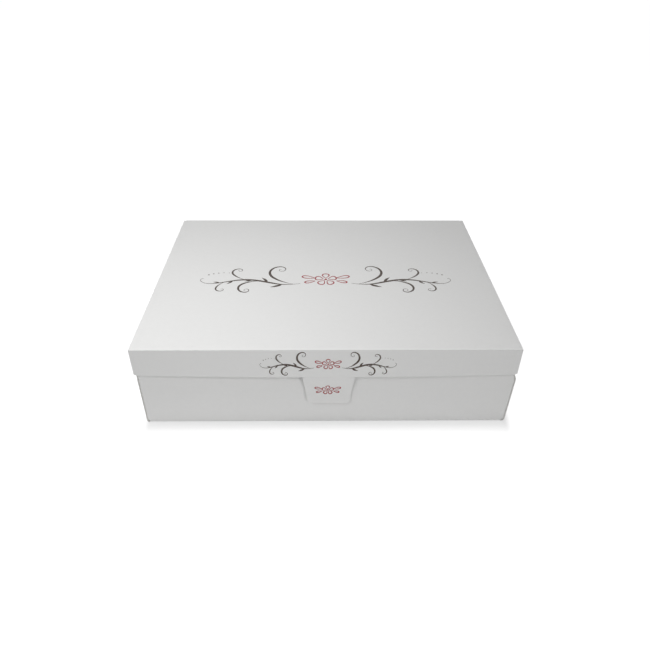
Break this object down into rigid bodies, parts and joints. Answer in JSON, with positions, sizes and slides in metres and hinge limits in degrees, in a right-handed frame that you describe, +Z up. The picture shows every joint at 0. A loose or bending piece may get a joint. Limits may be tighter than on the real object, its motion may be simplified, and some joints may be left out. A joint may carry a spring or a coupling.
{
  "type": "wedding card and keepsake box",
  "caption": "Folding box in satin white fluted board: rolled-side tray, hinged lid with skirts outside the tray, and a tapered tab that closes over the front.",
  "frame": {"origin": "bottom centre of the closed box's bounding box, on the surface that it stands on", "axes": "+X across the width, -Y towards the front where the tab hangs, +Z up"},
  "size_m": [0.616, 0.47, 0.159],
  "materials": {
    "satin_board": "satin",
    "bare_liner": "matte",
    "loop_tape": "matte",
    "hook_tape": "matte"
  },
  "bodies": {
    "tray": {"base_panel": "bare_liner", "front_wall": "satin_board", "back_wall": "satin_board", "left_wall_outer": "satin_board", "right_wall_outer": "satin_board", "left_wall_inner": "satin_board", "right_wall_inner": "satin_board", "left_rim": "satin_board", "right_rim": "satin_board", "front_left_flap": "satin_board", "front_right_flap": "satin_board", "back_left_flap": "satin_board", "back_right_flap": "satin_board", "rear_crease": "satin_board", "loop_dot": "loop_tape"},
    "lid": {"lid_panel": "satin_board", "lid_front_skirt": "satin_board", "lid_left_skirt": "satin_board", "lid_right_skirt": "satin_board", "lid_left_glue_flap": "bare_liner", "lid_right_glue_flap": "bare_liner", "tab_crease": "satin_board"},
    "tab": {"closure_tab": "satin_board", "hook_dot": "hook_tape"}
  },
  "joints": [
    {"name": "lid_hinge", "type": "hinge", "parent": "tray", "child": "lid", "pos_m": [0, 0.2345, 0.1585], "axis": [-1, 0, 0], "range_deg": [0, 180]},
    {"name": "tab_hinge", "type": "hinge", "parent": "lid", "child": "tab", "pos_m": [0.004, -0.23449, 0.1069], "axis": [-1, 0, 0], "range_deg": [0, 110]}
  ]
}
